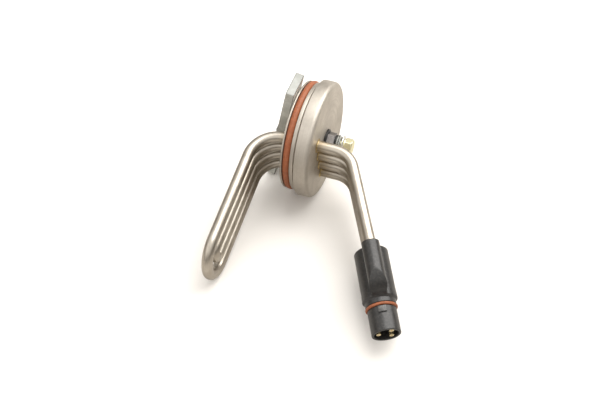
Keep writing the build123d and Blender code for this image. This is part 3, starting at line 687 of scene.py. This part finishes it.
# %% Helpers for materials, and bare metal
def new_material(name):
    """An empty material with a Principled shader joined to the output."""
    material = bpy.data.materials.new(name)
    material.use_nodes = True
    tree = material.node_tree
    tree.nodes.clear()
    out = tree.nodes.new("ShaderNodeOutputMaterial")
    shader = tree.nodes.new("ShaderNodeBsdfPrincipled")
    tree.links.new(shader.outputs[0], out.inputs[0])
    return material, tree, shader


def use(tree, group, **values):
    """A group node with the given inputs set."""
    node = tree.nodes.new("ShaderNodeGroup")
    node.node_tree = group
    for socket, value in values.items():
        node.inputs[socket.replace("_", " ")].default_value = value
    return node


def blend_colour(tree, factor, a, b):
    """Colour a to colour b by a factor; a and b are RGB triples or sockets."""
    node = tree.nodes.new("ShaderNodeMix")
    node.data_type = "RGBA"
    for index, value in ((0, factor), (6, a), (7, b)):
        if isinstance(value, bpy.types.NodeSocket):
            tree.links.new(value, node.inputs[index])
        else:
            node.inputs[index].default_value = value if index == 0 else (*value, 1.0)
    return node.outputs[2]


def ranged(tree, value, low, high, to_low, to_high):
    """value mapped from low..high to to_low..to_high, clamped."""
    return add(tree, "ShaderNodeMapRange", *enumerate((value, low, high, to_low, to_high))).outputs[0]


def bump(tree, height, strength, distance, normal):
    """A Bump node over an earlier normal; the distance is the relief's depth in metres."""
    return add(tree, "ShaderNodeBump", ("Strength", strength), ("Distance", distance), ("Height", height),
               ("Normal", normal)).outputs[0]


def lighter(colour, by, plus=0.0):
    """A colour times by, plus a little, kept under 1."""
    return tuple(min(1.0, c * by + plus) for c in colour)


def metal(name, colour, dark, rough, marks=None, size=120.0, wear=0.6, edge=0.0004, relief=0.00004,
          edge_tone=None):
    """Bare metal: cloudy between two tones, rougher in the clouds, bright broken edges, fine relief
    from turning marks, drawn grain or plain mottle. edge_tone gives the edges a tone of their own."""
    material, tree, shader = new_material(name)
    cloud = use(tree, mottle, Size=size)
    edge_wear_and_highlight = use(tree, edges, Radius=edge, Amount=wear)
    tone = ranged(tree, cloud.outputs["Cloud"], 0.35, 0.68, 0.0, 1.0)
    base = blend_colour(tree, tone, dark, colour)
    base = blend_colour(tree, edge_wear_and_highlight.outputs["Mask"], base, edge_tone or lighter(colour, 1.25))
    roughness = ranged(tree, cloud.outputs["Fine"], 0.3, 0.7, rough * 0.85, rough * 1.15)
    height = cloud.outputs["Fine"]
    if marks == "turned":
        worked = use(tree, rings)
        base = blend_colour(tree, ranged(tree, worked.outputs["Band"], 0.35, 0.65, 0.0, 0.5), base, dark)
        height = worked.outputs["Height"]
    elif marks == "drawn":
        worked = use(tree, grain)
        base = blend_colour(tree, ranged(tree, worked.outputs["Streak"], 0.4, 0.7, 0.0, 0.55), base, dark)
        roughness = ranged(tree, worked.outputs["Height"], 0.3, 0.7, rough * 0.75, rough * 1.25)
        height = worked.outputs["Height"]
    tree.links.new(base, shader.inputs["Base Color"])
    tree.links.new(roughness, shader.inputs["Roughness"])
    tree.links.new(bump(tree, height, 0.5, relief, edge_wear_and_highlight.outputs["Normal"]), shader.inputs["Normal"])
    shader.inputs["Metallic"].default_value = 1.0
    return material, tree, shader, base


# %% [markdown]
# ## Turned steel of the plate
#
# The plate is stainless steel, warm grey and rather matt, with fine turning marks and a breath of dust
# on top. Its gloss could come from a lower roughness, but the photo shows broad soft lights only.

# %% Plate steel
steel_plate, tree, shader, base = metal(
    "turned_steel", (0.64, 0.595, 0.53), (0.49, 0.45, 0.395), 0.52, "turned", 45.0)
powder = use(tree, dust, Amount=0.35)
tree.links.new(blend_colour(tree, powder.outputs[0], base, (0.62, 0.57, 0.50)), shader.inputs["Base Color"])

# %% [markdown]
# ## Drawn steel of the tubes
#
# The tubes are smoother than the plate, and brazing heat has tinted them brown where they pass through
# it. The tint is darker than heat alone leaves it, so that it also paints the shade between the tubes next
# to the plate. The tint could be painted, but it only depends on the distance from the plate, so a mask
# along X gives it, broken up by mottle.

# %% Tube steel with its heat tint and painted shade near the plate
TINT_OUT, TINT_IN = 21.5 * MM, -18.5 * MM  # where the tint has faded out
steel_tube, tree, shader, base = metal(
    "drawn_steel", (0.57, 0.525, 0.455), (0.42, 0.375, 0.315), 0.34, "drawn", 60.0, relief=0.00003)
along_x = part_of(tree, coordinates(tree), 0)
near_out = ranged(tree, along_x, FACE_X * MM, TINT_OUT, 1.0, 0.0)
near_in = ranged(tree, along_x, TINT_IN, BACK_X * MM, 0.0, 1.0)
near = maths(tree, "MULTIPLY", near_out, near_in)
tint_patchiness = use(tree, mottle, Size=260.0)
# Heat tint, made darker so that it also paints the shade between the tubes near the plate.
tint = maths(tree, "MULTIPLY", near, ranged(tree, tint_patchiness.outputs["Cloud"], 0.3, 0.65, 0.25, 0.85))
tree.links.new(blend_colour(tree, tint, base, (0.42, 0.31, 0.16)), shader.inputs["Base Color"])

# %% [markdown]
# ## Zinc of the clamp bar
#
# The bar, its nut and two washers are plated with dull grey zinc. The bar's edges are dark. Faces that
# look up, above all the bar's cut end, get painted shade, so that the lamp does not burn them out. A
# second material on that end would need the mesh cut up, so a mask from the normal's Z darkens it. Zinc
# that is only half metallic keeps that end from mirroring the lamp.

# %% Clamp bar zinc, with painted shade on faces that look up
zinc, tree, shader, base = metal(
    "bright_zinc", (0.74, 0.75, 0.71), (0.56, 0.57, 0.53), 0.36, None, 150.0,
    wear=5.0, edge=0.0009, edge_tone=(0.05, 0.05, 0.047))
shader.inputs["Metallic"].default_value = 0.5
# Painted shade: where the normal looks up, the colour is pulled towards near black.
painted_shade_up = ranged(tree, part_of(tree, coordinates(tree, "Normal"), 2), 0.55, 0.95, 0.0, 0.54)
tree.links.new(blend_colour(tree, painted_shade_up, base, (0.06, 0.06, 0.055)), shader.inputs["Base Color"])

# %% [markdown]
# ## Yellow zinc of the screw
#
# The screw is passivated yellow with a greenish shimmer, but its flange is left silvery. The flange
# could be an object of its own, but the screw is one part, so a mask along X gives the silver collar.

# %% Clamp screw plating
COLLAR_FROM, COLLAR_TO = (22.0 * MM, 22.6 * MM), (24.4 * MM, 25.0 * MM)
yellow, tree, shader, base = metal(
    "yellow_zinc", (0.98, 0.91, 0.60), (0.86, 0.81, 0.54), 0.32, None, 420.0, edge=0.0003)
shimmer = ranged(tree, use(tree, mottle, Size=900.0).outputs["Cloud"], 0.52, 0.7, 0.0, 0.5)
tinted = blend_colour(tree, shimmer, base, (0.72, 0.78, 0.58))
along_x = part_of(tree, coordinates(tree), 0)
above, below = ranged(tree, along_x, *COLLAR_FROM, 0.0, 1.0), ranged(tree, along_x, *COLLAR_TO, 1.0, 0.0)
collar = maths(tree, "MULTIPLY", above, below)
tree.links.new(blend_colour(tree, collar, tinted, (0.80, 0.80, 0.76)), shader.inputs["Base Color"])

# %% [markdown]
# ## The small metals
#
# Braze alloy is a dull golden metal with a rough skin. The spacer is dark phosphated steel, the contacts
# are a bright pale gold, and what is inside the tubes is plain wire. Marks could be added to each, but
# none would show at this size, so each is one call with its own tones.

# %% Braze, dark steel, contacts and wire
braze_metal = metal("braze_alloy", (0.62, 0.50, 0.27), (0.34, 0.24, 0.12), 0.46, None, 700.0,
                    relief=0.00012)[0]
gunmetal = metal("dark_phosphate", (0.38, 0.362, 0.358), (0.26, 0.248, 0.246), 0.42, None, 500.0,
                 wear=0.8, edge=0.0003)[0]
gold, tree, shader, base = metal(
    "contact_metal", (1.0, 0.90, 0.62), (0.90, 0.72, 0.40), 0.22, None, 900.0, edge=0.0002)
shader.inputs["Metallic"].default_value = 0.85
wire = metal("inner_wire", (0.42, 0.40, 0.38), (0.30, 0.28, 0.26), 0.4, None, 300.0)[0]
print("metals:", [material.name for material in bpy.data.materials])

# %% [markdown]
# ## Moulded plastic and rubber
#
# The boot, the seals and the parts inside it are moulded. A mould leaves a nearly even colour and a fine
# sparkle, and dust shows on black more than on metal. The boot's raised key has a glossier black, and its
# paler edges and heavier dust on top paint a highlight. Subsurface light could be added, but what shows
# is too dark for it.

# %% Plastics and rubbers
def moulded(name, colour, rough, specular, size=300.0, dust_amount=0.0,
            dust_colour=(0.34, 0.30, 0.26), highlight_edge=None):
    """Rubber or moulded plastic: nearly even colour, fine sparkle of the mould's surface, dust on top,
    and a painted highlight: edges painted paler than the faces."""
    material, tree, shader = new_material(name)
    cloud = use(tree, mottle, Size=size)
    edge_wear_and_highlight = use(tree, edges, Radius=0.0004, Amount=0.5)
    powder = use(tree, dust, Amount=dust_amount, Size=700.0)
    tone = ranged(tree, cloud.outputs["Cloud"], 0.35, 0.7, 0.0, 1.0)
    base = blend_colour(tree, tone, colour, lighter(colour, 1.35, 0.004))
    # Painted highlight: the edges are made paler than the faces.
    base = blend_colour(tree, edge_wear_and_highlight.outputs["Mask"], base, highlight_edge or lighter(colour, 2.2, 0.02))
    base = blend_colour(tree, powder.outputs["Mask"], base, dust_colour)
    roughness = ranged(tree, cloud.outputs["Fine"], 0.3, 0.7, rough * 0.85, min(1.0, rough * 1.2))
    sparkle = bump(tree, cloud.outputs["Fine"], 0.4, 0.00003, edge_wear_and_highlight.outputs["Normal"])
    tree.links.new(base, shader.inputs["Base Color"])
    tree.links.new(roughness, shader.inputs["Roughness"])
    tree.links.new(sparkle, shader.inputs["Normal"])
    shader.inputs["Specular IOR Level"].default_value = specular
    return material


boot_plastic = moulded("boot_black", (0.017, 0.0165, 0.016), 0.32, 0.6, dust_amount=0.12)
# The key's paler edges and heavier dust on top are a painted highlight.
key_plastic_highlit = moulded("boot_black_rubbed", (0.030, 0.029, 0.028), 0.26, 0.7, dust_amount=0.25,
                      highlight_edge=(0.24, 0.23, 0.21))
carrier_plastic = moulded("carrier_black", (0.010, 0.010, 0.011), 0.5, 0.3)
seal_orange = moulded("seal_orange", (0.30, 0.090, 0.035), 0.50, 0.45, 400.0, dust_amount=0.15,
                      dust_colour=(0.55, 0.38, 0.28), highlight_edge=(0.45, 0.17, 0.08))
rubber_black = moulded("rubber_black", (0.010, 0.010, 0.010), 0.42, 0.4, dust_amount=0.15)
mineral = moulded("mineral_filling", (0.72, 0.70, 0.66), 0.9, 0.2)
end_seal = moulded("end_seal_silicone", (0.55, 0.53, 0.48), 0.5, 0.4)
lead_blue = moulded("lead_insulation", (0.03, 0.05, 0.20), 0.45, 0.4)

# %% [markdown]
# ## Dressing the parts
#
# The record gives every CAD node a material slot, and the fine pieces are listed here with the slots
# they take. Each object could be given its material by hand, but a table from slot to finish dresses them
# all, also those that no one sees, and fails at once if a slot has no finish.

# %% Give every piece its finish
by_slot = {
    "plate": steel_plate, "sheath": steel_tube, "braze": braze_metal, "zinc": zinc, "yellow_zinc": yellow,
    "dark_steel": gunmetal, "contact": gold, "coil": wire, "terminal": wire, "boot": boot_plastic,
    "carrier": carrier_plastic, "o_ring": seal_orange, "black_rubber": rubber_black,
    "black_washer": rubber_black, "filling": mineral, "end_seal": end_seal, "lead": lead_blue,
}
slot_of = {part["node"]: part["material_slot"] for part in frame["record"]["subparts"]}
pieces = {plate: "plate", outer_tube: "sheath", inner_tube: "sheath", braze: "braze", boot: "boot",
          key: "boot", o_ring: "o_ring", nose_ring: "o_ring", screw: "yellow_zinc"}
for obj in bpy.data.objects:
    if obj.name.endswith("_contact_pin"):
        pieces[obj] = "contact"
for node, obj in frame["nodes"].items():
    pieces[obj] = slot_of[node]
for obj, slot_name in pieces.items():
    obj.data.materials.clear()
    obj.data.materials.append(key_plastic_highlit if obj == key else by_slot[slot_name])
print(len(pieces), "objects dressed with", len(set(pieces.values())), "finishes")

# %% [markdown]
# ## The white table
#
# The photo is taken on white paper, on which only shadows show. More light on the object would burn it
# out, so the table's own colour is nearly white to the camera, with a slight lift. To all other rays it
# is greyer, because metal would otherwise glow along every low side, and in the photo those are dark.

# %% Table
TABLE_MIRRORED, TABLE_SEEN, TABLE_LIFT = (0.60, 0.57, 0.53), (0.90, 0.872, 0.835), 0.04

bpy.ops.mesh.primitive_plane_add(size=6.0, location=(0, 0, TABLE_Z * MM - 0.00003))
table = bpy.context.object
table.name = "table"
material, tree, shader = new_material("table_white")
seen = add(tree, "ShaderNodeLightPath").outputs["Is Camera Ray"]
tree.links.new(blend_colour(tree, seen, TABLE_MIRRORED, TABLE_SEEN), shader.inputs["Base Color"])
tree.links.new(maths(tree, "MULTIPLY", seen, TABLE_LIFT), shader.inputs["Emission Strength"])
shader.inputs["Emission Color"].default_value = (1.0, 0.96, 0.90, 1)
shader.inputs["Roughness"].default_value = 0.75
shader.inputs["Specular IOR Level"].default_value = 0.15
table.data.materials.append(material)
print("table at z =", TABLE_Z, "mm")

# %% [markdown]
# ## The room round it
#
# Polished metal shows mainly what stands round it. An even white world would leave it flat, so this one
# has a bright top, a darker horizon and dimmer ends along X. The camera itself sees plain white.

# %% World
# The room's colours by the height of the direction: 0 at the horizon and below it, 1 straight up.
ROOM_LOW, ROOM_TOP = (0.10, 0.09, 0.08, 1), (1.0, 0.99, 0.97, 1)
ROOM_BETWEEN = {0.22: (0.22, 0.20, 0.18, 1), 0.42: (0.62, 0.59, 0.55, 1), 0.6: (0.92, 0.90, 0.87, 1)}
ROOM_STRENGTH, END_STRENGTH = 1.15, 0.8

world = bpy.data.worlds.new("studio")
bpy.context.scene.world = world
world.use_nodes = True
sky = world.node_tree
sky.nodes.clear()
direction = add(sky, "ShaderNodeSeparateXYZ", (0, coordinates(sky, "Generated")))
by_height = add(sky, "ShaderNodeValToRGB", (0, direction.outputs[2]))
stops = by_height.color_ramp.elements
stops[0].color, stops[1].color = ROOM_LOW, ROOM_TOP
for position, colour in ROOM_BETWEEN.items():
    stops.new(position).color = colour
path = add(sky, "ShaderNodeLightPath")
ends = ranged(sky, maths(sky, "ABSOLUTE", direction.outputs[0]), 0.35, 0.85, 1.0, END_STRENGTH)
strength = maths(sky, "MULTIPLY", ends, ROOM_STRENGTH)
room = add(sky, "ShaderNodeBackground", ("Color", by_height.outputs[0]), ("Strength", strength))
white = add(sky, "ShaderNodeBackground", ("Color", (1, 1, 1, 1)), ("Strength", 1.0))
either = add(sky, "ShaderNodeMixShader", (0, path.outputs["Is Camera Ray"]), (1, room.outputs[0]),
             (2, white.outputs[0]))
add(sky, "ShaderNodeOutputWorld", (0, either.outputs[0]))
print("room with", len(stops), "colours by height")

# %% [markdown]
# ## Two soft lamps
#
# The shadows in the photo are pale and have no edge, so the light comes from something large. A sun or
# a small lamp would cut hard shadows and mirror itself in the metal as a white spot. A large dim
# rectangle does neither, and the fill only lifts the shadows on the near side.

# %% Lamps
KEY_POWER, FILL_POWER = 9.8, 0.8


def area_light(name, place, aim, size, power, colour):
    """A soft light of size (wide, high) at place, whose face looks at aim; metres and watts."""
    data = bpy.data.lights.new(name, "AREA")
    data.shape, data.size, data.size_y = "RECTANGLE", size[0], size[1]
    data.energy, data.color = power, colour
    lamp = bpy.data.objects.new(name, data)
    lamp.location = place
    lamp.rotation_euler = (Vector(aim) - Vector(place)).to_track_quat("-Z", "Y").to_euler()
    bpy.context.scene.collection.objects.link(lamp)


area_light("key", (0.27, 0.36, 0.74), (0.0, -0.05, -0.02), (0.75, 1.25), KEY_POWER, (1.0, 0.985, 0.96))
area_light("fill", (-0.45, -0.55, 0.40), (-0.02, -0.05, -0.02), (0.7, 0.7), FILL_POWER,
           (1.0, 0.97, 0.93))

# %% [markdown]
# ## The camera
#
# The camera stands where the photo was taken from, as a fit to the plate's edges and the tubes gives it.
# It could be turned by eye, but the fit also gives the distance and so the right perspective. Its three
# directions are worked out from elevation and azimuth and then rolled about the view.

# %% Camera
# The point it looks at and its distance in metres, elevation, azimuth and roll in radians, and the
# focal length as a share of the picture's width.
target, distance = np.array([-0.01142, 0.0, -0.07548]), 0.8337
elevation, azimuth, roll, focal = 0.874, 0.366, -0.033, 1061.0 / 600

back = np.array([sin(azimuth) * cos(elevation), -cos(azimuth) * cos(elevation), sin(elevation)])
right = np.cross(-back, [0, 0, 1.0])
right /= np.linalg.norm(right)
up = np.cross(right, -back)
right, up = cos(roll) * right + sin(roll) * up, -sin(roll) * right + cos(roll) * up
camera = bpy.data.objects.new("camera", bpy.data.cameras.new("camera"))
bpy.context.scene.collection.objects.link(camera)
camera.data.sensor_width = 36.0
camera.data.lens = focal * camera.data.sensor_width
camera.data.clip_start, camera.data.clip_end = 0.01, 20
rows = [[right[i], up[i], back[i], (target + back * distance)[i]] for i in range(3)]
camera.matrix_world = Matrix(rows + [[0, 0, 0, 1]])
bpy.context.scene.camera = camera
bpy.context.scene.view_settings.view_transform = "Standard"
print("camera at", np.round(target + back * distance, 3), "lens", round(camera.data.lens, 2))
